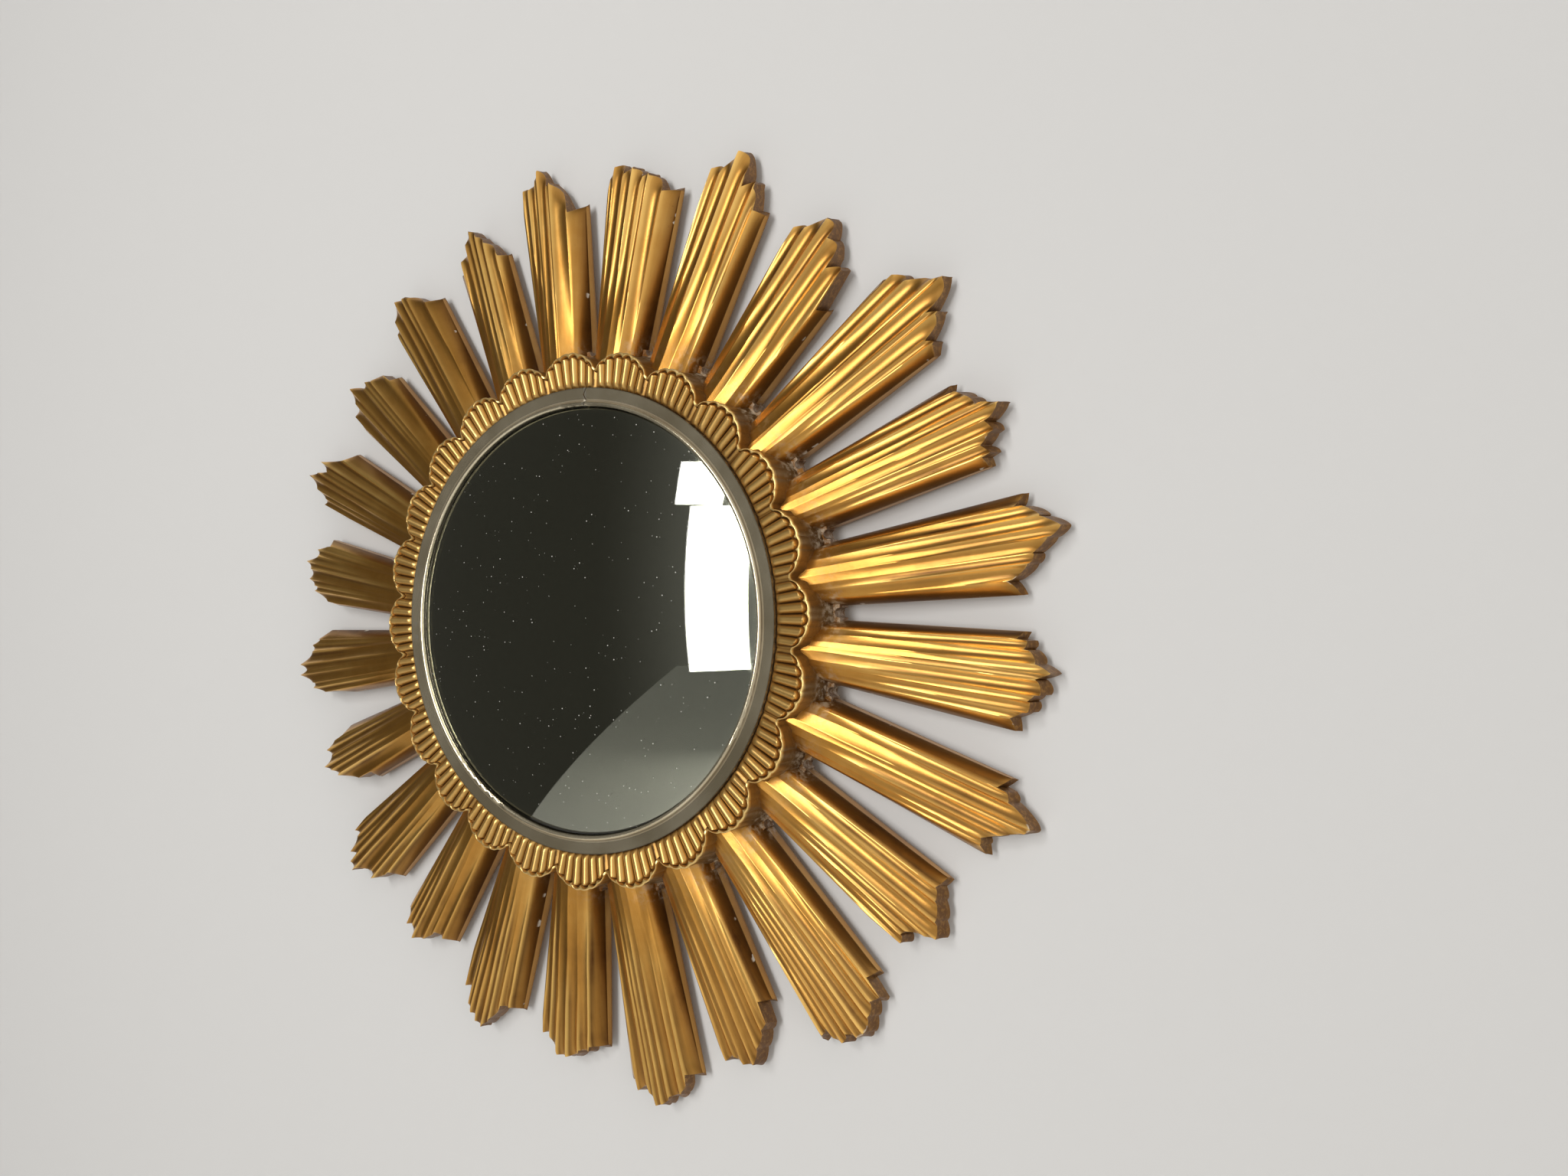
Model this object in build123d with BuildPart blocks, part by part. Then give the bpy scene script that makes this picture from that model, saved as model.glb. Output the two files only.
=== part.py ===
"""Sunburst wall mirror: one fluted casting round a convex glass, with the fittings on its back.

The wall is the plane Y = 0 and the mirror looks towards -Y, with +Z up. Every height in this
file is a distance in front of the wall, so a height h lies at Y = -h. Lengths are millimetres.
"""
import os
from math import cos, radians, sin, sqrt

from build123d import *

os.makedirs("parts", exist_ok=True)

# Glass and the parts that hold it, from the front to the back
GLASS_RADIUS = 138.0
GLASS_CURVE_RADIUS = 450.0
GLASS_THICKNESS = 3.0
SILVERING_THICKNESS = 0.3
TRIM_SEAT_HEIGHT = 37.0
GLASS_EDGE_RISE = 2.2
TRIM_WIDTH = 8.0
TRIM_LIP_OVERLAP = 3.5
TRIM_RIM_THICKNESS = 4.0
TRIM_BEAD_WIDTH = 3.0
TRIM_BEAD_RISE = 1.2
TRIM_LIP_RISE = 0.2
TRIM_GROOVE_DEPTH = 0.8
TRIM_CRACK_WIDTH = 0.8
TRIM_CRACK_JOG = 1.2
TRIM_CRACK_ANGLE = 5.0
PACKING_WIDTH = 9.0
BOARD_LEDGE_DEPTH = 8.0
BOARD_OVERLAP = 11.0
BOARD_THICKNESS = 3.0

# Collar of shells: widths outwards from the trim ring, heights above the seat of the trim ring
SHELL_NOTCH_WIDTH = 12.0
SHELL_CREST_WIDTH = 23.0
SHELL_LOBES = 5
SHELL_LOBE_RISE = 1.1
SHELL_FLOOR_RISE = 1.4
SHELL_INNER_RISE = 2.6
SHELL_INNER_HALF_WIDTH = 14.6
SHELL_RIM_RISE = 3.4
SHELL_RIM_HALF_WIDTH = 17.8
CORE_WIDTH = 4.0

# Web behind the collar, with a slot between each two rays and a flat land that lies on the wall
WEB_WIDTH = 6.0
WEB_FRONT_HEIGHT = 16.3
WALL_LAND_WIDTH = 9.0
SLOT_WIDTH = 5.5
SLOT_LENGTH = 16.0
SLOT_INSET = 2.6

# Rays: a steep fluted arch at the root that flattens to a thin stepped end
RAY_BACK_HEIGHT = 5.5
RAY_ROOT_WIDTH = 8.0
RAY_ROOT_HALF_WIDTH = 18.2
RAY_ROOT_CROWN_HEIGHT = 31.0
RAY_ROOT_FLUTES_HALF_WIDTH = 13.5
RAY_ROOT_FLUTES_DROP = 3.0
RAY_END_RADIUS = 312.0
RAY_END_CROWN_HEIGHT = 15.0
RAY_END_HALF_WIDTH = 27.0
RAY_END_FLUTES_DROP = 2.5
RAY_END_EDGE_HEIGHT = 11.0
FLUTE_BULGE_SHARE = 0.1
END_CUT_HEIGHT = 15.5
END_CUT_SLOPE = 0.0018
BLANK_MARGIN = 1.5

# Back fittings
BUTTON_COUNT = 6
BUTTON_LENGTH = 25.0
BUTTON_WIDTH = 9.0
BUTTON_THICKNESS = 1.2
BUTTON_PLAY = 0.1
BUTTON_SCREW_DEPTH = 9.0
HANGER_RADIUS = 204.5
STRAP_WIDTH = 10.0
STRAP_LENGTH = 27.0
STRAP_THICKNESS = 1.2
STRAP_FIRST_SCREW = 7.5
STRAP_SCREW_SPACING = 12.0
STRAP_SCREW_DEPTH = 7.0
RING_WIRE_DIAMETER = 2.2
RING_WIDTH = 20.0
RING_HEIGHT = 13.0
RING_BAR_BEND = 1.7
RING_END_BEND = 6.0
SCREW_DIAMETER = 3.4
SCREW_HEAD_DIAMETER = 6.4
SCREW_HEAD_HEIGHT = 1.8
DRIVER_SLOT_WIDTH = 0.8
DRIVER_SLOT_DEPTH = 0.8

# Clearances
TRIM_CLEARANCE = 0.3
GLASS_EDGE_CLEARANCE = 0.6
GLASS_SEAT_CLEARANCE = 0.1
BOARD_CLEARANCE = 0.6
PIVOT_CLEARANCE = 0.08
RING_CLEARANCE = 0.05

# Every ray as its flutes, clockwise, seen from the front: where the first flute starts across the
# ray, then each flute's far edge across the ray and the radius it reaches at its near and far edge.
RAYS = [
    (-25, [(-21, 288, 284), (-15, 298, 296), (-9, 297, 298), (-6, 301, 308), (1, 308, 294),
           (4, 294, 296), (16, 295, 273), (27, 271, 270)]),
    (-26, [(-21, 281, 280), (-18, 284, 291), (-9, 292, 289), (-1, 287, 291), (7, 290, 281),
           (12, 284, 286), (22, 285, 273), (32, 274, 272)]),
    (-22, [(-17, 272, 273), (-9, 290, 290), (0, 291, 304), (10, 304, 291), (18, 284, 287),
           (22, 285, 272), (27, 272, 268)]),
    (-21, [(-17, 264, 262), (-9, 273, 276), (1, 277, 288), (8, 288, 280), (17, 279, 270),
           (25, 264, 266), (28, 241, 240)]),
    (-24, [(-19, 274, 274), (-10, 284, 287), (1, 288, 298), (4, 299, 304), (13, 303, 288),
           (17, 285, 290), (24, 288, 275), (28, 274, 277), (32, 276, 268)]),
    (-20, [(-14, 269, 269), (-8, 275, 281), (-1, 281, 284), (4, 287, 296), (9, 295, 286),
           (16, 284, 286), (20, 283, 276), (26, 276, 279), (31, 274, 270)]),
    (-23, [(-16, 284, 285), (-9, 289, 298), (-2, 297, 307), (3, 307, 301), (10, 300, 290),
           (15, 291, 289), (22, 288, 277), (30, 275, 275)]),
    (-24, [(-20, 277, 279), (-15, 284, 284), (-8, 286, 291), (-4, 292, 299), (0, 299, 291),
           (8, 292, 295), (12, 292, 288), (18, 289, 288), (22, 286, 279), (29, 279, 277)]),
    (-20, [(-14, 282, 282), (-9, 287, 291), (-1, 292, 306), (3, 306, 303), (9, 302, 293),
           (15, 293, 283), (19, 283, 284), (24, 284, 283)]),
    (-26, [(-20, 271, 274), (-14, 274, 279), (-5, 279, 286), (3, 286, 291), (6, 290, 285),
           (11, 284, 276), (15, 276, 274), (20, 275, 276), (23, 258, 256)]),
    (-27, [(-22, 273, 276), (-16, 288, 288), (-9, 288, 294), (-1, 294, 300), (5, 300, 299),
           (10, 298, 294), (15, 295, 297), (19, 297, 291), (24, 285, 287), (29, 287, 285)]),
    (-23, [(-18, 254, 256), (-13, 268, 272), (-6, 273, 281), (1, 281, 289), (8, 289, 287),
           (13, 286, 281), (20, 280, 282), (24, 278, 277)]),
    (-30, [(-21, 284, 287), (-16, 292, 298), (-7, 299, 301), (-1, 302, 306), (4, 306, 307),
           (8, 305, 299), (18, 295, 298), (25, 290, 290)]),
    (-30, [(-20, 271, 277), (-12, 280, 282), (-3, 284, 289), (6, 289, 290), (12, 289, 280),
           (20, 276, 279), (23, 270, 268)]),
    (-28, [(-21, 270, 275), (-14, 275, 278), (-8, 281, 292), (-3, 293, 299), (4, 301, 300),
           (10, 296, 297), (14, 296, 292), (21, 279, 282), (23, 258, 252)]),
    (-25, [(-18, 261, 267), (-10, 266, 269), (-5, 271, 280), (4, 280, 288), (9, 287, 279),
           (15, 279, 284), (18, 280, 271), (24, 271, 275)]),
    (-27, [(-20, 263, 271), (-14, 274, 289), (-9, 289, 285), (2, 286, 300), (9, 303, 301),
           (15, 291, 297), (19, 295, 281), (25, 279, 283), (27, 270, 264)]),
    (-20, [(-16, 241, 243), (-6, 257, 279), (0, 276, 284), (5, 284, 291), (10, 291, 279),
           (16, 279, 284), (20, 284, 272), (26, 263, 255)]),
    (-17, [(-14, 244, 262), (-9, 272, 286), (-5, 286, 284), (3, 286, 301), (6, 300, 291),
           (11, 292, 300), (19, 299, 283), (24, 281, 284), (27, 283, 273), (33, 277, 263)]),
    (-17, [(-15, 256, 258), (-8, 264, 280), (-4, 280, 277), (1, 280, 288), (9, 287, 286),
           (14, 286, 293), (19, 293, 279), (24, 279, 282), (27, 281, 270), (32, 267, 269)]),
    (-17, [(-15, 250, 256), (-10, 283, 281), (-6, 282, 294), (1, 295, 309), (6, 307, 299),
           (10, 298, 288), (15, 289, 299), (23, 297, 275), (30, 275, 265)]),
    (-20, [(-15, 269, 267), (-6, 279, 279), (-1, 283, 297), (8, 297, 282), (12, 281, 285),
           (16, 285, 279), (26, 280, 271), (30, 263, 259)]),
    (-20, [(-15, 280, 279), (-11, 280, 283), (-3, 289, 302), (4, 302, 295), (8, 298, 296),
           (19, 295, 279), (29, 279, 270)]),
    (-19, [(-10, 273, 269), (-2, 280, 283), (4, 289, 297), (9, 296, 290), (14, 289, 281),
           (21, 281, 268), (25, 266, 262)]),
]
HANGER_RAYS = (-2, 1)

# Angles and radii, outwards from the axis
pitch = 360 / len(RAYS)
glass_bore_radius = GLASS_RADIUS + GLASS_EDGE_CLEARANCE
trim_lip_radius = GLASS_RADIUS - TRIM_LIP_OVERLAP
trim_under_radius = GLASS_RADIUS + TRIM_CLEARANCE
trim_groove_radius = trim_lip_radius + TRIM_BEAD_WIDTH
trim_outer_radius = GLASS_RADIUS + TRIM_WIDTH
trim_recess_radius = trim_outer_radius + TRIM_CLEARANCE
packing_inner_radius = GLASS_RADIUS - PACKING_WIDTH
board_radius = GLASS_RADIUS + BOARD_OVERLAP
board_pocket_radius = board_radius + BOARD_CLEARANCE
core_radius = trim_outer_radius + CORE_WIDTH
ray_root_radius = trim_outer_radius + RAY_ROOT_WIDTH
shell_notch_radius = trim_outer_radius + SHELL_NOTCH_WIDTH
shell_crest_radius = trim_outer_radius + SHELL_CREST_WIDTH
slot_start_radius = shell_crest_radius + SLOT_INSET
web_radius = shell_crest_radius + WEB_WIDTH
land_outer_radius = shell_crest_radius + SLOT_INSET / 2
cavity_radius = land_outer_radius - WALL_LAND_WIDTH
button_pivot_radius = (board_pocket_radius + cavity_radius) / 2

# Heights in front of the wall
glass_edge_height = TRIM_SEAT_HEIGHT + GLASS_EDGE_RISE
glass_apex_height = glass_edge_height + GLASS_CURVE_RADIUS - sqrt(GLASS_CURVE_RADIUS**2 - GLASS_RADIUS**2)
trim_rim_height = TRIM_SEAT_HEIGHT + TRIM_RIM_THICKNESS
trim_lip_height = trim_rim_height + TRIM_LIP_RISE
trim_bead_height = trim_rim_height + TRIM_BEAD_RISE
trim_groove_height = trim_rim_height - TRIM_GROOVE_DEPTH
shell_floor_height = TRIM_SEAT_HEIGHT + SHELL_FLOOR_RISE
shell_inner_height = TRIM_SEAT_HEIGHT + SHELL_INNER_RISE
shell_rim_height = TRIM_SEAT_HEIGHT + SHELL_RIM_RISE
shell_top_height = shell_rim_height + 2 * SHELL_LOBE_RISE
board_ledge_height = TRIM_SEAT_HEIGHT - BOARD_LEDGE_DEPTH
board_back_height = board_ledge_height - BOARD_THICKNESS
button_front_height = board_back_height - BUTTON_PLAY
button_back_height = button_front_height - BUTTON_THICKNESS
button_head_height = button_back_height - BUTTON_PLAY
strap_back_height = RAY_BACK_HEIGHT - STRAP_THICKNESS
ring_eye_radius = RING_WIRE_DIAMETER / 2 + RING_CLEARANCE
knuckle_radius = ring_eye_radius + STRAP_THICKNESS
ring_axis_height = RAY_BACK_HEIGHT - knuckle_radius


def glass_height(radius, depth=0.0):
    """Height of the surface that lies `depth` behind the glass's front, at a distance off its axis."""
    curve = GLASS_CURVE_RADIUS - depth
    return glass_apex_height - GLASS_CURVE_RADIUS + sqrt(curve**2 - radius**2)


def packing_height(radius):
    """Front of the packing ring: just clear of the silvering on the back of the glass."""
    return glass_height(radius, GLASS_THICKNESS + SILVERING_THICKNESS) - GLASS_SEAT_CLEARANCE


def around(radius, angle):
    """Point at a radius and an angle that runs clockwise from the top, seen from the front."""
    return radius * sin(radians(angle)), radius * cos(radians(angle))


def across_plane(angle, radius):
    """Plane across a radial direction: local X runs clockwise round the mirror, local Y to the wall."""
    out_x, out_z = around(1, angle)
    return Plane(origin=(radius * out_x, 0, radius * out_z), x_dir=(out_z, 0, -out_x),
                 z_dir=(out_x, 0, out_z))


def facing_plane(height, angle=0.0):
    """Plane that faces the viewer: local X runs clockwise round the mirror, local Y outwards."""
    out_x, out_z = around(1, angle)
    return Plane(origin=(0, -height, 0), x_dir=(out_z, 0, -out_x), z_dir=(0, -1, 0))


def lobed_section(plane, crests, back_height):
    """Closed section: a row of bulging lobes between the crest points, over a flat back."""
    with BuildSketch(plane) as section:
        with BuildLine():
            for (x0, h0), (x1, h1) in zip(crests, crests[1:]):
                bulge = FLUTE_BULGE_SHARE * (x1 - x0)
                ThreePointArc((x0, -h0), ((x0 + x1) / 2, -(h0 + h1) / 2 - bulge), (x1, -h1))
            (first_x, first_h), (last_x, last_h) = crests[0], crests[-1]
            Polyline((last_x, -last_h), (last_x, -back_height), (first_x, -back_height), (first_x, -first_h))
        make_face()
    return section.sketch


def end_cut_scale(height):
    """Outlines grow towards the wall, which slopes every end face outwards to the back."""
    return 1 + (END_CUT_HEIGHT - height) * END_CUT_SLOPE


def ray_crests(start, flutes):
    """Where the flutes of a ray meet, across the ray, at its root and at its far end."""
    edges = [(start, flutes[0][1])]
    edges += [(x, (far + near[1]) / 2) for (x, _, far), near in zip(flutes, flutes[1:])]
    edges.append((flutes[-1][0], flutes[-1][2]))
    first, last = edges[1][0], edges[-2][0]
    root, end = [], []
    for index, (x, reach) in enumerate(edges):
        share = 2 * (x - first) / (last - first) - 1
        root_x = share * RAY_ROOT_FLUTES_HALF_WIDTH
        root_h = RAY_ROOT_CROWN_HEIGHT - RAY_ROOT_FLUTES_DROP * share**2
        end_h = RAY_END_CROWN_HEIGHT - RAY_END_FLUTES_DROP * (x / RAY_END_HALF_WIDTH) ** 2
        if index in (0, len(edges) - 1):
            side = 1 if index else -1
            x += side * BLANK_MARGIN
            root_x = side * (RAY_ROOT_HALF_WIDTH + BLANK_MARGIN)
            root_h = WEB_FRONT_HEIGHT
            end_h = RAY_END_EDGE_HEIGHT
        run = (RAY_END_RADIUS - ray_root_radius) / (reach - ray_root_radius)
        root.append((root_x, root_h))
        end.append((root_x + (x - root_x) * run, end_h))
    return root, end


def ray_outline(angle, start, flutes, height):
    """Plan outline of a ray at a height: straight sides and a stepped end."""
    points = [(-RAY_ROOT_HALF_WIDTH, ray_root_radius)]
    x = start
    for far_x, near_reach, far_reach in flutes:
        if points[-1] != (x, near_reach):
            points.append((x, near_reach))
        points.append((far_x, far_reach))
        x = far_x
    points.append((RAY_ROOT_HALF_WIDTH, ray_root_radius))
    scale = end_cut_scale(height)
    with BuildSketch(facing_plane(height, angle)) as outline:
        with BuildLine():
            Polyline([(scale * px, scale * py) for px, py in points], close=True)
        make_face()
    return outline.sketch


def ray_solid(angle, start, flutes):
    """One ray: its stepped outline, cut down to a fan of flutes from root to end."""
    root, end = ray_crests(start, flutes)
    outlines = [ray_outline(angle, start, flutes, 0), ray_outline(angle, start, flutes, shell_rim_height)]
    blank = [lobed_section(across_plane(angle, ray_root_radius), root, RAY_BACK_HEIGHT),
             lobed_section(across_plane(angle, RAY_END_RADIUS), end, RAY_BACK_HEIGHT)]
    with BuildPart() as ray:
        loft(outlines, ruled=True, clean=False)
        loft(blank, ruled=True, clean=False, mode=Mode.INTERSECT)
    return ray.part


def shell_outline(angle, height):
    """Plan outline of a shell at a height: a slice of the collar with a scalloped outer edge."""
    scale = end_cut_scale(height)
    notch_x, notch_y = around(scale * shell_notch_radius, pitch / 2)
    inner_x, inner_y = around(GLASS_RADIUS, pitch / 2)
    with BuildSketch(facing_plane(height, angle)) as outline:
        with BuildLine():
            ThreePointArc((-notch_x, notch_y), (0, scale * shell_crest_radius), (notch_x, notch_y))
            Polyline((notch_x, notch_y), (inner_x, inner_y), (-inner_x, inner_y), (-notch_x, notch_y))
        make_face()
    return outline.sketch


def shell_section(angle, radius, half_width, height):
    """Section across a shell: rounded lobes side by side, with a flat gore on both sides."""
    gore_edge = shell_crest_radius * sin(radians(pitch / 2))
    xs = [half_width * (2 * i / SHELL_LOBES - 1) for i in range(SHELL_LOBES + 1)]
    with BuildSketch(across_plane(angle, radius)) as section:
        with BuildLine():
            for x0, x1 in zip(xs, xs[1:]):
                ThreePointArc((x0, -height), ((x0 + x1) / 2, -height - SHELL_LOBE_RISE), (x1, -height))
            Polyline((half_width, -height), (half_width, -shell_floor_height),
                     (gore_edge, -shell_floor_height), (gore_edge, -RAY_BACK_HEIGHT),
                     (-gore_edge, -RAY_BACK_HEIGHT), (-gore_edge, -shell_floor_height),
                     (-half_width, -shell_floor_height), (-half_width, -height))
        make_face()
    return section.sketch


def shell_solid(angle):
    """One shell of the collar, down to the back of the web."""
    outlines = [shell_outline(angle, RAY_BACK_HEIGHT), shell_outline(angle, shell_top_height)]
    outer_radius = end_cut_scale(RAY_BACK_HEIGHT) * shell_crest_radius
    lobes = [shell_section(angle, GLASS_RADIUS, SHELL_INNER_HALF_WIDTH, shell_inner_height),
             shell_section(angle, outer_radius, SHELL_RIM_HALF_WIDTH, shell_rim_height)]
    with BuildPart() as shell:
        loft(outlines, ruled=True, clean=False)
        loft(lobes, ruled=True, clean=False, mode=Mode.INTERSECT)
    return shell.part


button_angles = [360 / BUTTON_COUNT * (index + 0.5) for index in range(BUTTON_COUNT)]
button_spots = [Location((*around(button_pivot_radius, angle), 0), (0, 0, 90 - angle))
                for angle in button_angles]
hanger_pivots = [around(HANGER_RADIUS, pitch * (index + 0.5)) for index in HANGER_RAYS]
strap_screws = [(x, z - STRAP_FIRST_SCREW - step * STRAP_SCREW_SPACING)
                for x, z in hanger_pivots for step in (0, 1)]


def frame_cuts():
    """Everything cut out of the casting: the well, the slots between the rays and the screw holes."""
    with BuildPart() as cuts:
        with BuildSketch(Plane.XY):
            with BuildLine():
                Polyline((0, 0), (cavity_radius, 0), (cavity_radius, -board_back_height),
                         (board_pocket_radius, -board_back_height),
                         (board_pocket_radius, -board_ledge_height),
                         (glass_bore_radius, -board_ledge_height), (glass_bore_radius, -TRIM_SEAT_HEIGHT),
                         (trim_recess_radius, -TRIM_SEAT_HEIGHT), (trim_recess_radius, -shell_top_height),
                         (0, -shell_top_height), close=True)
            make_face()
        revolve(axis=Axis.Y)
        with BuildSketch(facing_plane(0)):
            with PolarLocations(slot_start_radius + SLOT_LENGTH / 2, len(RAYS), start_angle=90):
                SlotOverall(SLOT_LENGTH, SLOT_WIDTH)
        extrude(amount=WEB_FRONT_HEIGHT)
        with BuildSketch(facing_plane(board_back_height)):
            with Locations(*button_spots):
                Circle(SCREW_DIAMETER / 2)
        extrude(amount=BUTTON_SCREW_DEPTH)
        with BuildSketch(facing_plane(RAY_BACK_HEIGHT)):
            with Locations(*strap_screws):
                Circle(SCREW_DIAMETER / 2)
        extrude(amount=STRAP_SCREW_DEPTH)
    return cuts.part


rays = [ray_solid(pitch * (index - 0.5), *ray) for index, ray in enumerate(RAYS)]
shells = [shell_solid(pitch * index) for index in range(len(RAYS))]

with BuildPart() as sunburst_frame:
    with BuildSketch(Plane.XY):
        with BuildLine():
            Polyline((glass_bore_radius, 0), (glass_bore_radius, -TRIM_SEAT_HEIGHT),
                     (core_radius, -TRIM_SEAT_HEIGHT), (core_radius, -WEB_FRONT_HEIGHT),
                     (web_radius, -WEB_FRONT_HEIGHT), (web_radius, -RAY_BACK_HEIGHT),
                     (land_outer_radius, -RAY_BACK_HEIGHT), (land_outer_radius, 0), close=True)
        make_face()
    revolve(axis=Axis.Y)
    add([*rays, *shells])
    add(frame_cuts(), mode=Mode.SUBTRACT)
sunburst_frame.part.label = "sunburst_frame"

with BuildPart() as trim_ring:
    with BuildSketch(Plane.XY):
        with BuildLine():
            Polyline((trim_under_radius, -TRIM_SEAT_HEIGHT), (trim_outer_radius, -TRIM_SEAT_HEIGHT),
                     (trim_outer_radius, -trim_rim_height), (trim_groove_radius, -trim_groove_height))
            ThreePointArc((trim_groove_radius, -trim_groove_height),
                          ((trim_groove_radius + trim_lip_radius) / 2, -trim_bead_height),
                          (trim_lip_radius, -trim_lip_height))
            Polyline((trim_lip_radius, -trim_lip_height),
                     (trim_lip_radius, -glass_height(trim_lip_radius) - GLASS_SEAT_CLEARANCE),
                     (trim_under_radius, -glass_height(trim_under_radius) - GLASS_SEAT_CLEARANCE),
                     (trim_under_radius, -TRIM_SEAT_HEIGHT))
        make_face()
    revolve(axis=Axis.Y)
    crack_path = [(0, trim_lip_radius - TRIM_CLEARANCE), (TRIM_CRACK_JOG, trim_groove_radius),
                  (-TRIM_CRACK_JOG, (trim_groove_radius + trim_outer_radius) / 2),
                  (TRIM_CRACK_JOG, trim_outer_radius + TRIM_CLEARANCE)]
    with BuildSketch(facing_plane(0, TRIM_CRACK_ANGLE)):
        with BuildLine():
            Polyline([(x - TRIM_CRACK_WIDTH / 2, r) for x, r in crack_path]
                     + [(x + TRIM_CRACK_WIDTH / 2, r) for x, r in reversed(crack_path)], close=True)
        make_face()
    extrude(amount=glass_apex_height, mode=Mode.SUBTRACT)
trim_ring.part.label = "trim_ring"


def dished_section(radius, front_depth, back_depth):
    """Half section of a dished disc that lies between two depths behind the front of the glass."""
    with BuildSketch(Plane.XY) as section:
        with BuildLine():
            faces = []
            for depth in (front_depth, back_depth):
                faces.append([(r, -glass_height(r, depth)) for r in (0, radius / 2, radius)])
            front, back = faces
            ThreePointArc(*front)
            Line(front[-1], back[-1])
            ThreePointArc(*reversed(back))
            Line(back[0], front[0])
        make_face()
    return section.sketch


with BuildPart() as mirror_glass:
    add(dished_section(GLASS_RADIUS, 0, GLASS_THICKNESS))
    revolve(axis=Axis.Y)
mirror_glass.part.label = "mirror_glass"

with BuildPart() as mirror_silvering:
    add(dished_section(GLASS_RADIUS, GLASS_THICKNESS, GLASS_THICKNESS + SILVERING_THICKNESS))
    revolve(axis=Axis.Y)
mirror_silvering.part.label = "mirror_silvering"

with BuildPart() as packing_ring:
    with BuildSketch(Plane.XY):
        with BuildLine():
            Polyline((GLASS_RADIUS, -board_ledge_height), (GLASS_RADIUS, -packing_height(GLASS_RADIUS)),
                     (packing_inner_radius, -packing_height(packing_inner_radius)),
                     (packing_inner_radius, -board_ledge_height), close=True)
        make_face()
    revolve(axis=Axis.Y)
packing_ring.part.label = "packing_ring"

with BuildPart() as backing_board:
    with BuildSketch(facing_plane(board_back_height)):
        Circle(board_radius)
    extrude(amount=BOARD_THICKNESS)
backing_board.part.label = "backing_board"

turn_buttons = []
for index, spot in enumerate(button_spots):
    with BuildPart() as turn_button:
        with BuildSketch(facing_plane(button_back_height)):
            with Locations(spot):
                with Locations(((BUTTON_WIDTH - BUTTON_LENGTH) / 2, 0)):
                    SlotOverall(BUTTON_LENGTH, BUTTON_WIDTH)
                Circle(SCREW_DIAMETER / 2 + PIVOT_CLEARANCE, mode=Mode.SUBTRACT)
        extrude(amount=BUTTON_THICKNESS)
    turn_button.part.label = f"turn_button_{index + 1}"
    turn_buttons.append(turn_button.part)

with BuildPart() as button_screws:
    with BuildSketch(facing_plane(button_head_height)):
        with Locations(*button_spots):
            Circle(SCREW_DIAMETER / 2)
    extrude(amount=board_back_height - button_head_height + BUTTON_SCREW_DEPTH)
    with BuildSketch(facing_plane(button_head_height)):
        with Locations(*button_spots):
            Circle(SCREW_HEAD_DIAMETER / 2)
    extrude(amount=-SCREW_HEAD_HEIGHT)
    with BuildSketch(facing_plane(button_head_height - SCREW_HEAD_HEIGHT)):
        with Locations(*button_spots):
            Rectangle(SCREW_HEAD_DIAMETER, DRIVER_SLOT_WIDTH)
    extrude(amount=DRIVER_SLOT_DEPTH, mode=Mode.SUBTRACT)
button_screws.part.label = "button_screws"

hanger_straps = []
hanger_rings = []
for (pivot_x, pivot_z), hand in zip(hanger_pivots, ("left", "right")):
    edge_plane = Plane(origin=(pivot_x - STRAP_WIDTH / 2, 0, pivot_z), x_dir=(0, -1, 0), z_dir=(1, 0, 0))
    with BuildPart() as hanger_strap:
        with BuildSketch(edge_plane):
            with Locations((RAY_BACK_HEIGHT - STRAP_THICKNESS / 2, -STRAP_LENGTH / 2)):
                Rectangle(STRAP_THICKNESS, STRAP_LENGTH)
            with Locations((ring_axis_height, 0)):
                Circle(knuckle_radius)
                Circle(ring_eye_radius, mode=Mode.SUBTRACT)
        extrude(amount=STRAP_WIDTH)
        with BuildSketch(facing_plane(0)):
            with Locations(*strap_screws):
                Circle(SCREW_DIAMETER / 2)
        extrude(amount=RAY_BACK_HEIGHT, mode=Mode.SUBTRACT)
    hanger_strap.part.label = f"hanger_strap_{hand}"
    hanger_straps.append(hanger_strap.part)

    with BuildPart() as hanger_ring:
        with BuildLine(facing_plane(ring_axis_height)):
            left, right = pivot_x - RING_WIDTH / 2, pivot_x + RING_WIDTH / 2
            FilletPolyline((left, pivot_z), (right, pivot_z), (right, pivot_z + RING_HEIGHT),
                           (left, pivot_z + RING_HEIGHT), close=True,
                           radius=[RING_BAR_BEND, RING_BAR_BEND, RING_END_BEND, RING_END_BEND])
        with BuildSketch(Plane(origin=(pivot_x, -ring_axis_height, pivot_z), z_dir=(1, 0, 0))):
            Circle(RING_WIRE_DIAMETER / 2)
        sweep()
    hanger_ring.part.label = f"hanger_ring_{hand}"
    hanger_rings.append(hanger_ring.part)

with BuildPart() as hanger_screws:
    with BuildSketch(facing_plane(strap_back_height)):
        with Locations(*strap_screws):
            Circle(SCREW_DIAMETER / 2)
    extrude(amount=STRAP_THICKNESS + STRAP_SCREW_DEPTH)
    with BuildSketch(facing_plane(strap_back_height)):
        with Locations(*strap_screws):
            Circle(SCREW_HEAD_DIAMETER / 2)
    extrude(amount=-SCREW_HEAD_HEIGHT)
    with BuildSketch(facing_plane(strap_back_height - SCREW_HEAD_HEIGHT)):
        with Locations(*strap_screws):
            Rectangle(SCREW_HEAD_DIAMETER, DRIVER_SLOT_WIDTH)
    extrude(amount=DRIVER_SLOT_DEPTH, mode=Mode.SUBTRACT)
hanger_screws.part.label = "hanger_screws"

pieces = [sunburst_frame.part, trim_ring.part, mirror_glass.part, mirror_silvering.part, packing_ring.part,
          backing_board.part, *turn_buttons, button_screws.part, *hanger_straps, *hanger_rings,
          hanger_screws.part]
for piece in pieces:
    export_step(piece, f"parts/{piece.label}.step")
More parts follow.
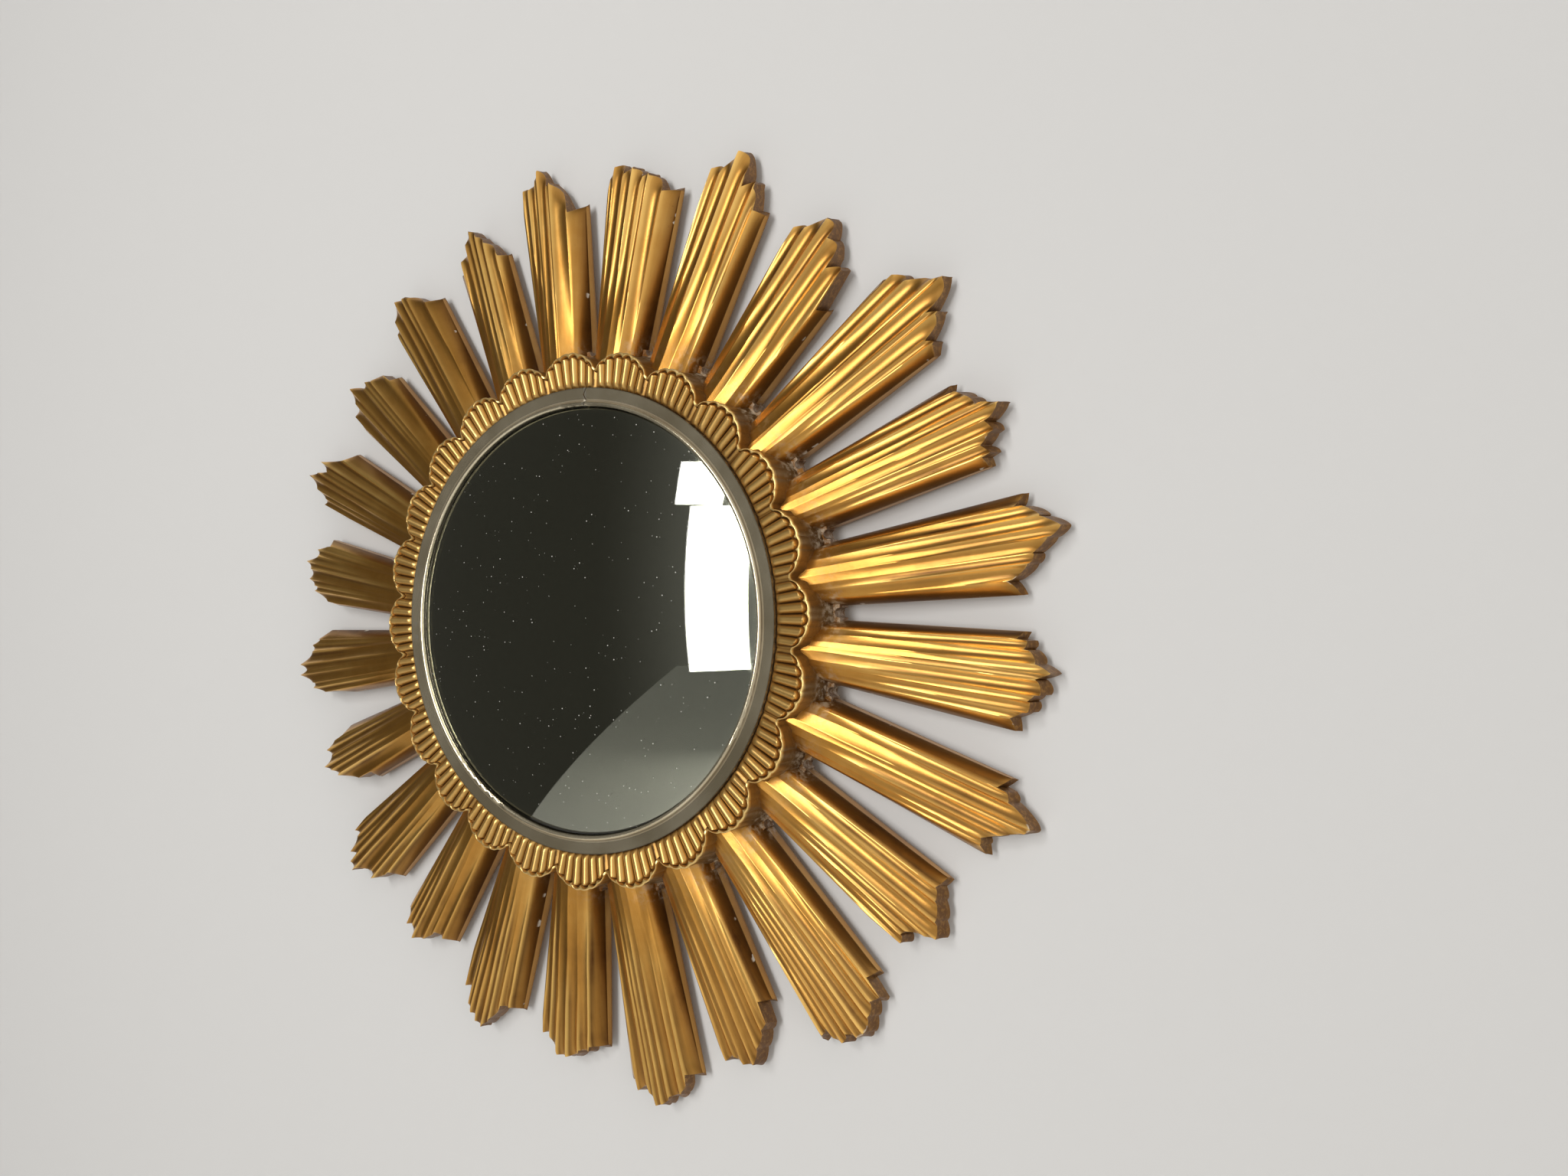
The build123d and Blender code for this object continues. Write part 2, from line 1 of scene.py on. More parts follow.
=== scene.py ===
# %% [markdown]
# # A sunburst mirror, dressed round its measured frame
# The mirror is a convex glass in a thin brass-toned ring, held by a gilded casting: a collar of
# scalloped shells and 24 fluted rays. The measured model gives every place and size, so each piece
# made here is drawn with the same numbers and only adds what a plain solid can't show: the soft
# flutes, the brown patina and the rubbed edges.

# %% Load the measured frame
from math import asin, cos, pi, radians, sin, sqrt

import bmesh
import bpy
import numpy as np
from mathutils import Euler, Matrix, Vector


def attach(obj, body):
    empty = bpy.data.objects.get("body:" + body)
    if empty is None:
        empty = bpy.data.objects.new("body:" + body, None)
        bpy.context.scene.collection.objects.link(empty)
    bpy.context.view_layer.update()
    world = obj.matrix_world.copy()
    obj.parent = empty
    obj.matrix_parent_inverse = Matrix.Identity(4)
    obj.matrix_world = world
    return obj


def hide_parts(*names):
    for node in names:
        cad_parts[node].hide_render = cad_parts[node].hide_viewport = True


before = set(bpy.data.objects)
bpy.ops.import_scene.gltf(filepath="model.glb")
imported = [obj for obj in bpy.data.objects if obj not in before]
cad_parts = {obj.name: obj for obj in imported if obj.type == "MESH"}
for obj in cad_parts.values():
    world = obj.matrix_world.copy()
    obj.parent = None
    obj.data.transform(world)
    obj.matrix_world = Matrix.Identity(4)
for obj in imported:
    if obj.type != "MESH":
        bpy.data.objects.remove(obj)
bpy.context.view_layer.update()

MM = 0.001

# %% [markdown]
# ## Camera and studio
# The photograph was taken from the right of the mirror, close by, with a wide lens, so the rays on
# the right look longer. The camera stands where the ring's outline in the photograph says it stood.

# %% Camera
camera_data = bpy.data.cameras.new("camera")
camera_data.lens = 26.03
camera = bpy.data.objects.new("camera", camera_data)
camera.location = (0.4715, -0.5918, -0.0026)
camera.rotation_euler = Euler([radians(a) for a in (91.551, 1.541, 30.086)])
bpy.context.scene.collection.objects.link(camera)
bpy.context.scene.camera = camera
bpy.context.scene.view_settings.view_transform = "Standard"

# %% [markdown]
# A finish is a small network of shader nodes. Two classes keep it readable: `Wire` holds one
# output and turns Python's operators into Math nodes, and `Finish` adds any other node by one
# method, so a mask reads like the sum that it is.


# %% Finishes as Python expressions
class Wire:
    """One output of a shader network. Maths on it adds Math nodes."""

    def __init__(self, finish, socket):
        self.finish = finish
        self.socket = socket

    def maths(self, operation, *others):
        return self.finish.node("Math", {"operation": operation}, dict(enumerate(others)))

    def __add__(self, other):
        return self.maths("ADD", self, other)

    def __sub__(self, other):
        return self.maths("SUBTRACT", self, other)

    def __rsub__(self, other):
        return self.maths("SUBTRACT", other, self)

    def __mul__(self, other):
        return self.maths("MULTIPLY", self, other)

    def __pow__(self, other):
        return self.maths("POWER", self, other)

    __radd__ = __add__
    __rmul__ = __mul__

    def size(self):
        return self.maths("ABSOLUTE", self)

    def root(self):
        return self.maths("SQRT", self)

    def over(self, low, high):
        """0 below `low`, 1 above `high`, and a soft step between; turned round when low > high."""
        settings = {"interpolation_type": "SMOOTHSTEP"}
        return self.finish.node("MapRange", settings, {0: self, 1: low, 2: high})


class Finish:
    """A material and its nodes."""

    def __init__(self, name):
        self.material = bpy.data.materials.new(name)
        self.material.use_nodes = True
        self.tree = self.material.node_tree
        self.tree.nodes.clear()
        self.end = self.tree.nodes.new("ShaderNodeOutputMaterial")

    def node(self, kind, settings=None, values=None, output=0):
        made = self.tree.nodes.new("ShaderNode" + kind)
        for key, value in (settings or {}).items():
            setattr(made, key, value)
        for key, value in (values or {}).items():
            self.feed(made.inputs[key], value)
        return Wire(self, made.outputs[output])

    def feed(self, socket, value):
        if isinstance(value, Wire):
            self.tree.links.new(value.socket, socket)
        elif socket.type == "RGBA":
            socket.default_value = (*value, 1.0)
        else:
            socket.default_value = value

    def mix(self, factor, low, high):
        settings = {"data_type": "RGBA", "clamp_factor": True}
        return self.node("Mix", settings, {0: factor, 6: low, 7: high}, 2)

    def place(self):
        return self.node("TexCoord", output=3)

    def part(self, vector, axis):
        return self.node("SeparateXYZ", values={0: vector}, output=axis)

    def away(self, place, x=0.0, z=0.0):
        """Distance in the wall's plane from a spot, or else from the axis of the glass."""
        return ((self.part(place, 0) - x) ** 2.0 + (self.part(place, 2) - z) ** 2.0).root()

    def noise(self, vector, scale, detail=3.0, rough=0.55):
        return self.node("TexNoise", None, {"Vector": vector, "Scale": scale, "Detail": detail,
                                            "Roughness": rough})

    def layer(self, name, output=2):
        return self.node("Attribute", {"attribute_name": name}, output=output)

    def bump(self, height, depth, strength=1.0):
        return self.node("Bump", None, {"Height": height, "Distance": depth, "Strength": strength})

    def shade(self, **values):
        """Ends the network in a Principled shader with these sockets, spaces written as _."""
        named = {key.replace("_", " "): value for key, value in values.items()}
        shader = self.node("BsdfPrincipled", None, named)
        self.show(shader)
        return shader

    def show(self, shader):
        self.tree.links.new(shader.socket, self.end.inputs["Surface"])


# %% [markdown]
# The wall and the floor are only there to stand the mirror against. They are pale and plain. Seen
# from behind they vanish, and they let the lamp behind them through, so that the back of the mirror
# can be looked at.


# %% Backdrop
def backdrop(name, corners, colour):
    mesh = bpy.data.meshes.new(name)
    mesh.from_pydata(corners, [], [(0, 1, 2, 3)])
    piece = bpy.data.objects.new(name, mesh)
    bpy.context.scene.collection.objects.link(piece)
    paint = Finish(name + "_paint")
    flat = paint.node("BsdfPrincipled", None, {"Base Color": colour, "Roughness": 0.9})
    clear = paint.node("BsdfTransparent")
    behind = paint.node("NewGeometry", output="Backfacing")
    paint.show(paint.node("MixShader", None, {0: behind, 1: flat, 2: clear}))
    mesh.materials.append(paint.material)
    piece.visible_shadow = False
    return piece


WALL_GAP = 0.0006
HALF_WALL = 4.0
FLOOR_DROP = 1.3
FLOOR_LEFT = -1.9
low_left, low_right = (-HALF_WALL, WALL_GAP, -FLOOR_DROP), (HALF_WALL, WALL_GAP, -FLOOR_DROP)
high_left, high_right = (-HALF_WALL, WALL_GAP, HALF_WALL), (HALF_WALL, WALL_GAP, HALF_WALL)
near_left = (FLOOR_LEFT, -2 * HALF_WALL, -FLOOR_DROP)
near_right = (HALF_WALL, -2 * HALF_WALL, -FLOOR_DROP)
backdrop("wall", [low_left, low_right, high_right, high_left], (0.70, 0.71, 0.72))
backdrop("floor", [near_left, near_right, low_right, (FLOOR_LEFT, WALL_GAP, -FLOOR_DROP)],
         (0.72, 0.71, 0.69))

# %% [markdown]
# In the photograph a window in front of the wall gives the light: its picture stands at the right
# in the glass, while the far left of the room is dark. So a large soft lamp stands in front, a
# little to the left, and the world is a soft gradient that is dim on the left and bright on the
# right. The camera itself sees a plain pale world. A third lamp, behind the wall, lights the back.


# %% Lamps and world
def window(name, place, width, height, power):
    lamp = bpy.data.lights.new(name, "AREA")
    lamp.shape = "RECTANGLE"
    lamp.size, lamp.size_y, lamp.energy = width, height, power
    lamp.color = (1.0, 0.97, 0.93)
    piece = bpy.data.objects.new(name, lamp)
    piece.location = place
    piece.rotation_euler = (-Vector(place)).to_track_quat("-Z", "Y").to_euler()
    bpy.context.scene.collection.objects.link(piece)
    return piece


window("window_main", (-0.11, -2.5, 0.255), 0.60, 1.49, 29)
window("window_top", (-0.35, -2.5, 1.27), 0.50, 0.42, 10)
window("lamp_behind", (0.5, 3.0, 0.8), 2.0, 2.0, 26)

world = bpy.data.worlds.new("studio")
bpy.context.scene.world = world
world.use_nodes = True
sky = world.node_tree
sky.nodes.clear()


def sky_node(kind, values=None, **settings):
    made = sky.nodes.new("ShaderNode" + kind)
    for key, value in settings.items():
        setattr(made, key, value)
    for key, value in (values or {}).items():
        if isinstance(value, bpy.types.NodeSocket):
            sky.links.new(value, made.inputs[key])
        else:
            made.inputs[key].default_value = value
    return made


towards = sky_node("TexCoord").outputs["Generated"]
from_side = sky_node("SeparateXYZ", {0: towards})
right = sky_node("MapRange", {0: from_side.outputs["X"], 1: -0.55, 2: 0.9},
                 interpolation_type="SMOOTHSTEP")
DARK_ROOM, BRIGHT_ROOM = (0.06, 0.056, 0.047, 1), (0.92, 0.88, 0.83, 1)
BACK_ROOM, SEEN_ROOM = (0.25, 0.25, 0.25, 1), (0.80, 0.81, 0.82, 1)
gradient = sky_node("Mix", {0: right.outputs[0], 6: DARK_ROOM, 7: BRIGHT_ROOM}, data_type="RGBA")
behind = sky_node("MapRange", {0: from_side.outputs["Y"], 1: 0.0, 2: 0.3})
with_back = sky_node("Mix", {0: behind.outputs[0], 6: gradient.outputs[2], 7: BACK_ROOM},
                     data_type="RGBA")
seen = sky_node("LightPath")
final = sky_node("Mix", {0: seen.outputs["Is Camera Ray"], 6: with_back.outputs[2], 7: SEEN_ROOM},
                 data_type="RGBA")
background = sky_node("Background", {"Color": final.outputs[2]})
sky_node("OutputWorld", {"Surface": background.outputs[0]})

# %% [markdown]
# ## Sizes that the pieces share
# Heights are millimetres in front of the wall, radii are millimetres from the axis of the glass,
# and angles run clockwise from the top. They are the values of the measured model.

# %% Shared sizes
GLASS_RADIUS, GLASS_CURVE, GLASS_THICK = 138.0, 450.0, 3.0
GLASS_APEX = 39.2 + GLASS_CURVE - sqrt(GLASS_CURVE**2 - GLASS_RADIUS**2)
TRIM_RECESS, TRIM_SEAT = 146.3, 37.0
SHELL_NOTCH, SHELL_CREST = 158.0, 169.0
WEB_RADIUS, WEB_HEIGHT, RAY_BACK = 175.0, 16.3, 5.5
SLOT_START, SLOT_HALF = 171.6, 2.75
LAND_RADIUS, WELL_RADIUS, BOARD_POCKET = 170.3, 161.3, 149.6
# The well behind the collar holds the board and the turn buttons, so the pieces in front of it end
# at WELL_ROOF and outside WELL_OUTSIDE, within the material of the casting.
WELL_TOP, WELL_ROOF, WELL_OUTSIDE = 26.0, 27.0, 163.2
RAY_COUNT = 24
PITCH = 360 / RAY_COUNT


def polar(out, across, height, angle):
    """Points `out` along a direction, `across` it clockwise and `height` off the wall."""
    a = radians(angle)
    out, across, height = np.broadcast_arrays(out, across, height)
    x, z = out * sin(a) + across * cos(a), out * cos(a) - across * sin(a)
    return MM * np.stack([x, -height, z], -1)


def soft(value, low, high):
    """0 below `low`, 1 above `high`, and a smooth step between."""
    s = np.clip((value - low) / (high - low), 0, 1)
    return s * s * (3 - 2 * s)


# %% [markdown]
# Every mesh here is a sheet of points with faces between them, closed on itself. A helper makes
# the object, stores what the finish needs on the points, and marks the sharp edges.


# %% Mesh helpers
def grid_faces(rows, columns, first=0, wrap_rows=False, wrap_columns=False):
    """Four-sided faces over a sheet of points that is stored row by row."""
    down = rows if wrap_rows else rows - 1
    along = columns if wrap_columns else columns - 1
    i, j = np.meshgrid(np.arange(down), np.arange(along), indexing="ij")
    i1, j1 = (i + 1) % rows, (j + 1) % columns
    quads = np.stack([i * columns + j, i * columns + j1, i1 * columns + j1, i1 * columns + j], -1)
    return (first + quads.reshape(-1, 4)).tolist()


def make_piece(name, points, faces, layers=None, sharp=40.0):
    mesh = bpy.data.meshes.new(name)
    mesh.from_pydata(np.asarray(points).reshape(-1, 3).tolist(), [], faces)
    for layer, values in (layers or {}).items():
        values = np.asarray(values, float)
        kind = "FLOAT_VECTOR" if values.ndim == 2 else "FLOAT"
        slot = mesh.attributes.new(layer, kind, "POINT")
        slot.data.foreach_set("vector" if kind == "FLOAT_VECTOR" else "value", values.ravel())
    piece = bpy.data.objects.new(name, mesh)
    bpy.context.scene.collection.objects.link(piece)
    face_out(mesh, sharp)
    return piece


def face_out(mesh, sharp):
    work = bmesh.new()
    work.from_mesh(mesh)
    bmesh.ops.recalc_face_normals(work, faces=work.faces)
    work.to_mesh(mesh)
    work.free()
    mesh.polygons.foreach_set("use_smooth", [True] * len(mesh.polygons))
    mesh.set_sharp_from_angle(angle=radians(sharp))


def triangles(mesh):
    return sum(len(p.vertices) - 2 for p in mesh.polygons)


def finish_piece(piece, material, body, slot_name, *nodes):
    """Gives a piece its finish and lets it ride on a body in place of the CAD nodes."""
    piece.data.materials.clear()
    piece.data.materials.append(material)
    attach(piece, body)
    if nodes:
        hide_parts(*nodes)
    print(piece.name, triangles(piece.data), "triangles")


# %% [markdown]
# ## The gilding
# The real casting is a light composite that was painted gold over brown. Light and shade are
# painted into the gold: a painted highlight on the raised lines, painted shade beside them, on the
# outer flutes, down the walls and in the grooves, brown patina in the hollows, and a darker brown on
# the walls and cut ends. The meshes carry layers for it: one for the ridge highlight, one for the
# shade and patina, `cut` (walls and ends), `edge`, and `grain`, which is a place along and across
# the brush strokes. Pale dust lies in the corners between the rays.


# %% Gilded finish
CHIP_COLOUR, DUST_COLOUR = (0.62, 0.58, 0.50), (0.52, 0.44, 0.33)


def gilding(name, bright, gold, brown, rough, metal):
    paint = Finish(name)
    place = paint.place()
    grain = paint.layer("grain", 1)
    ridge_highlight, shade_and_patina = paint.layer("ridge_highlight"), paint.layer("shade_and_patina")
    cut, edge = paint.layer("cut"), paint.layer("edge")
    streak = paint.noise(grain, 1.0, 5.0, 0.65)
    cloud = paint.noise(place, 22.0, 4.0, 0.6)
    speckle = paint.noise(place, 420.0, 3.0, 0.7)
    # Painted highlight: the gold lightens towards the bright colour along the raised lines; streaks
    # and clouds add random tone.
    lit = ridge_highlight * 0.9 + streak.over(0.42, 0.80) * 0.05 + cloud.over(0.45, 0.75) * 0.25
    colour = paint.mix(lit, gold, bright)
    # Painted shade with real patina and grime: the shade and patina layer, with random streaks, clouds
    # and speckles, darkens the gold towards brown, less so under the painted highlight.
    shade_and_grime = (shade_and_patina * 0.95 + streak.over(0.50, 0.28) * 0.07 + cloud.over(0.50, 0.30) * 0.20
             + speckle.over(0.62, 0.76) * 0.12)
    colour = paint.mix(shade_and_grime - ridge_highlight * 0.6, colour, brown)
    # The walls, backs and cut ends turn a darker brown; on the shells' outer wall this follows the
    # painted shade.
    darker_walls = (0.62 + 0.38 * speckle.over(0.62, 0.48)) * cut
    colour = paint.mix(darker_walls, colour, tuple(0.8 * c for c in brown))
    chipped = paint.noise(place, 90.0, 2.0, 0.5).over(0.66, 0.69) * edge
    colour = paint.mix(chipped, colour, CHIP_COLOUR)
    radius = paint.away(place)
    corner = radius.over(0.187, 0.173) * radius.over(0.157, 0.163)
    corner = corner * paint.part(place, 1).over(-0.031, -0.020)
    right_side = paint.part(place, 0).over(-0.08, 0.14)
    dust = corner * (0.2 + 0.8 * right_side)
    dust = dust * paint.noise(place, 260.0, 4.0, 0.7).over(0.42, 0.66) * 0.75
    colour = paint.mix(dust, colour, DUST_COLOUR)
    covered = 1 - (cut * 0.35 + shade_and_grime * 0.15 + dust * 0.8 + chipped)
    paint.shade(Base_Color=colour, Metallic=covered.over(0.0, 1.0) * metal,
                Roughness=rough + 0.12 * shade_and_grime + 0.12 * cut + 0.35 * dust + 0.08 * (speckle - 0.5),
                Coat_Weight=0.08, Coat_Roughness=0.2,
                Normal=paint.bump(streak * 0.12 + speckle * 0.3, 0.00012))
    return paint.material


ray_gilding = gilding("ray_gilding", bright=(0.95, 0.62, 0.19), gold=(0.58, 0.285, 0.055),
                      brown=(0.105, 0.040, 0.009), rough=0.30, metal=0.93)
shell_gilding = gilding("shell_gilding", bright=(0.92, 0.66, 0.26), gold=(0.62, 0.36, 0.10),
                        brown=(0.075, 0.032, 0.010), rough=0.34, metal=0.88)

# %% [markdown]
# ## The rays
# Each ray is a fan of flutes from the collar to a ragged end. The flutes meet in narrow raised
# lines, each of a different strength, some of which fade before they reach the collar. The ends
# are cut at a slope and scooped between the lines. A sheet of points whose columns follow the
# flutes holds all of that: a column knows its place at both ends, and the height is a sum of a
# crown, the lines, a soft hollow and a little unevenness from the maker's hand. The middle of the
# root reaches in over the well, to fill the notch between two shells.

# %% Every ray by its flutes
# Where the first flute starts across the ray, then each flute's far edge across the ray and the
# radius that it reaches at its near and its far edge.
RAYS = [
    (-25, [(-21, 288, 284), (-15, 298, 296), (-9, 297, 298), (-6, 301, 308), (1, 308, 294),
           (4, 294, 296), (16, 295, 273), (27, 271, 270)]),
    (-26, [(-21, 281, 280), (-18, 284, 291), (-9, 292, 289), (-1, 287, 291), (7, 290, 281),
           (12, 284, 286), (22, 285, 273), (32, 274, 272)]),
    (-22, [(-17, 272, 273), (-9, 290, 290), (0, 291, 304), (10, 304, 291), (18, 284, 287),
           (22, 285, 272), (27, 272, 268)]),
    (-21, [(-17, 264, 262), (-9, 273, 276), (1, 277, 288), (8, 288, 280), (17, 279, 270),
           (25, 264, 266), (28, 241, 240)]),
    (-24, [(-19, 274, 274), (-10, 284, 287), (1, 288, 298), (4, 299, 304), (13, 303, 288),
           (17, 285, 290), (24, 288, 275), (28, 274, 277), (32, 276, 268)]),
    (-20, [(-14, 269, 269), (-8, 275, 281), (-1, 281, 284), (4, 287, 296), (9, 295, 286),
           (16, 284, 286), (20, 283, 276), (26, 276, 279), (31, 274, 270)]),
    (-23, [(-16, 284, 285), (-9, 289, 298), (-2, 297, 307), (3, 307, 301), (10, 300, 290),
           (15, 291, 289), (22, 288, 277), (30, 275, 275)]),
    (-24, [(-20, 277, 279), (-15, 284, 284), (-8, 286, 291), (-4, 292, 299), (0, 299, 291),
           (8, 292, 295), (12, 292, 288), (18, 289, 288), (22, 286, 279), (29, 279, 277)]),
    (-20, [(-14, 282, 282), (-9, 287, 291), (-1, 292, 306), (3, 306, 303), (9, 302, 293),
           (15, 293, 283), (19, 283, 284), (24, 284, 283)]),
    (-26, [(-20, 271, 274), (-14, 274, 279), (-5, 279, 286), (3, 286, 291), (6, 290, 285),
           (11, 284, 276), (15, 276, 274), (20, 275, 276), (23, 258, 256)]),
    (-27, [(-22, 273, 276), (-16, 288, 288), (-9, 288, 294), (-1, 294, 300), (5, 300, 299),
           (10, 298, 294), (15, 295, 297), (19, 297, 291), (24, 285, 287), (29, 287, 285)]),
    (-23, [(-18, 254, 256), (-13, 268, 272), (-6, 273, 281), (1, 281, 289), (8, 289, 287),
           (13, 286, 281), (20, 280, 282), (24, 278, 277)]),
    (-30, [(-21, 284, 287), (-16, 292, 298), (-7, 299, 301), (-1, 302, 306), (4, 306, 307),
           (8, 305, 299), (18, 295, 298), (25, 290, 290)]),
    (-30, [(-20, 271, 277), (-12, 280, 282), (-3, 284, 289), (6, 289, 290), (12, 289, 280),
           (20, 276, 279), (23, 270, 268)]),
    (-28, [(-21, 270, 275), (-14, 275, 278), (-8, 281, 292), (-3, 293, 299), (4, 301, 300),
           (10, 296, 297), (14, 296, 292), (21, 279, 282), (23, 258, 252)]),
    (-25, [(-18, 261, 267), (-10, 266, 269), (-5, 271, 280), (4, 280, 288), (9, 287, 279),
           (15, 279, 284), (18, 280, 271), (24, 271, 275)]),
    (-27, [(-20, 263, 271), (-14, 274, 289), (-9, 289, 285), (2, 286, 300), (9, 303, 301),
           (15, 291, 297), (19, 295, 281), (25, 279, 283), (27, 270, 264)]),
    (-20, [(-16, 241, 243), (-6, 257, 279), (0, 276, 284), (5, 284, 291), (10, 291, 279),
           (16, 279, 284), (20, 284, 272), (26, 263, 255)]),
    (-17, [(-14, 244, 262), (-9, 272, 286), (-5, 286, 284), (3, 286, 301), (6, 300, 291),
           (11, 292, 300), (19, 299, 283), (24, 281, 284), (27, 283, 273), (33, 277, 263)]),
    (-17, [(-15, 256, 258), (-8, 264, 280), (-4, 280, 277), (1, 280, 288), (9, 287, 286),
           (14, 286, 293), (19, 293, 279), (24, 279, 282), (27, 281, 270), (32, 267, 269)]),
    (-17, [(-15, 250, 256), (-10, 283, 281), (-6, 282, 294), (1, 295, 309), (6, 307, 299),
           (10, 298, 288), (15, 289, 299), (23, 297, 275), (30, 275, 265)]),
    (-20, [(-15, 269, 267), (-6, 279, 279), (-1, 283, 297), (8, 297, 282), (12, 281, 285),
           (16, 285, 279), (26, 280, 271), (30, 263, 259)]),
    (-20, [(-15, 280, 279), (-11, 280, 283), (-3, 289, 302), (4, 302, 295), (8, 298, 296),
           (19, 295, 279), (29, 279, 270)]),
    (-19, [(-10, 273, 269), (-2, 280, 283), (4, 289, 297), (9, 296, 290), (14, 289, 281),
           (21, 281, 268), (25, 266, 262)]),
]

# %% Shape of one ray
ROOT_RADIUS, ROOT_SIDE, END_RADIUS = 154.0, 166.5, 312.0
ROOT_HALF, ROOT_FLUTES_HALF = 18.2, 13.5
ROOT_CROWN, ROOT_FALL, ROOT_EDGE = 31.5, 6.0, 12.5
END_CROWN, END_FALL, END_EDGE, END_HALF = 15.0, 2.5, 8.6, 27.0
FLANK_BEND = 1.7
CUT_HEIGHT, CUT_SLOPE = 15.5, 0.0018
CUT_SIDE, CUT_END, CUT_BACK = 0.1, 0.85, 0.6
COLUMN_SHARES = np.array([0.0, 0.07, 0.18, 0.34, 0.5, 0.66, 0.82, 0.93, 1.0])
COLUMN_GAP = 0.22
LINE_WIDTH = 1.45
RAY_ROWS = 42
WALL_SHARES = (0.04, 0.35, 0.7, 1.0)
chance = np.random.default_rng(24)


def ray_columns(start, flutes):
    """Columns of points across a ray: flute, share of it, place, reach, height and width."""
    crest_x = [start] + [far_x for far_x, _, _ in flutes]
    count = len(flutes)
    middle, spread = (crest_x[1] + crest_x[-2]) / 2, (crest_x[-2] - crest_x[1]) / 2
    share = [(x - middle) / spread for x in crest_x]
    root_x = [ROOT_FLUTES_HALF * s for s in share]
    root_h = [ROOT_CROWN - ROOT_FALL * s * s for s in share]
    end_h = [END_CROWN - END_FALL * (x / END_HALF) ** 2 for x in crest_x]
    root_x[0], root_x[-1] = -ROOT_HALF, ROOT_HALF
    root_h[0] = root_h[-1] = ROOT_EDGE
    end_h[0] = end_h[-1] = END_EDGE
    rows = []
    for i, (_, near, far) in enumerate(flutes):
        gap = COLUMN_GAP / (crest_x[i + 1] - crest_x[i])
        for f in gap + (1 - 2 * gap) * COLUMN_SHARES:
            bend = f
            if i == 0:
                bend = 1 - (1 - f) ** FLANK_BEND
            if i == count - 1:
                bend = f**FLANK_BEND
            rows.append((i, f,
                         root_x[i] + f * (root_x[i + 1] - root_x[i]),
                         crest_x[i] + f * (crest_x[i + 1] - crest_x[i]),
                         near + f * (far - near),
                         root_h[i] + bend * (root_h[i + 1] - root_h[i]),
                         end_h[i] + bend * (end_h[i + 1] - end_h[i]),
                         root_x[i + 1] - root_x[i],
                         crest_x[i + 1] - crest_x[i]))
    return np.array(rows).T


def end_bite(angle):
    """How deep the flutes' ends are cut back: they swell a little on the rays near the top."""
    upward = cos(radians(angle))
    return 0.25 - 1.15 * upward if upward > 0.5 else 1.0


def ray_sheet(start, flutes, bite):
    """Place and height of every point on the front of one ray, and its layers for the gilding."""
    flute, f, root_x, end_x, reach, root_h, end_h, root_w, end_w = ray_columns(start, flutes)
    flute = flute.astype(int)
    count = len(flutes)
    t = (0.5 - 0.5 * np.cos(pi * np.linspace(0, 1, RAY_ROWS)))[:, None]
    inner = ((flute > 0) & (flute < count - 1)).astype(float)
    hollow_end = bite * np.clip(0.16 * end_w, 0.3, 1.9) * np.sin(pi * f) * inner
    begins = ROOT_RADIUS + (ROOT_SIDE - ROOT_RADIUS) * soft(np.abs(root_x), 8.5, 11.5)
    u = begins + t * (reach - begins - hollow_end)
    x = root_x + t * (end_x - root_x)
    s = (u - ROOT_RADIUS) / (END_RADIUS - ROOT_RADIUS)
    width = root_w + t * (end_w - root_w)

    gaps = np.diff([start] + [far_x for far_x, _, _ in flutes])
    room = np.minimum(np.r_[gaps[0], gaps], np.r_[gaps, gaps[-1]])
    strength = chance.uniform(0.35, 1.45, count + 1) * np.clip(room / 5.5, 0.4, 1.1)
    fades = chance.random(count + 1) < 0.62
    start_at = np.where(fades, chance.uniform(0.15, 0.55, count + 1), -0.1)
    tilt = chance.uniform(-1, 1, count)
    phase = chance.uniform(0, 2 * pi, (3, count))
    hollow = chance.uniform(0.6, 1.2, count)
    clear = 0.03 + 0.97 * soft(u, 163, 224)

    def line(edge, distance):
        """A narrow raised line along one edge of the flute; the ray's outer edges have none."""
        has_line = ((edge > 0) & (edge < count)).astype(float)
        grows = soft(s, start_at[edge], start_at[edge] + 0.3) * strength[edge] * has_line
        return grows * np.exp(-distance / LINE_WIDTH), grows

    left, left_power = line(flute, f * width)
    right, right_power = line(flute + 1, (1 - f) * width)
    relief = (0.25 + 1.65 * s) * (left + right) * clear
    scoop = (0.15 + 0.85 * s) * hollow[flute] * np.sin(pi * f) ** 0.8
    scoop = scoop * inner * np.clip(width / 6, 0.4, 1.3) * clear
    lean = (0.25 + 0.75 * s) * tilt[flute] * (f - 0.5) * inner * clear
    uneven = 0.05 * np.sin(u / 9.5 + phase[0][flute]) + 0.02 * np.sin(u / 4.1 + phase[1][flute])
    to_end = reach - u
    end_scoop = 1.5 * np.clip(width / 7, 0.3, 1.3) * np.sin(pi * f) * np.exp(-to_end / 3.0)
    end_scoop = end_scoop + 0.5 * np.exp(-to_end / 1.2)
    cove = 4.0 * np.exp(-(u - ROOT_RADIUS) / 5.0) * (1 - np.abs(root_x / ROOT_HALF) ** 4)
    h = root_h + s * (end_h - root_h) + relief - scoop + lean + uneven * inner - end_scoop + cove

    # Layers for the gilding: a painted highlight along the raised lines, painted shade in a band on
    # one side of each line and over the outer flutes, and patina in the scooped hollows.
    on_line = np.clip(0.9 * (left + right) * clear, 0, 1)
    beside = right_power * np.exp(-(((1 - f) * width - 1.9) / 1.2) ** 2)
    beside = beside + 0.2 * left_power * np.exp(-((f * width - 2.3) / 1.3) ** 2)
    outside = np.where(flute == 0, 1 - f, np.where(flute == count - 1, f, 0.0))
    shade_and_patina = np.clip(0.8 * beside * clear + 0.25 * scoop + 0.9 * outside**1.4, 0, 1)
    edge = np.zeros_like(u)
    edge[:, :2] = edge[:, -2:] = 1
    edge[-2:, :] = 0.6
    grain = np.stack([u * 0.035, x * 0.75 / (0.45 + 0.55 * t), 0 * u + phase[2][0] * 7], -1)
    return u, x, h, on_line, shade_and_patina, edge, grain, 2.7 + 1.3 * hollow_end


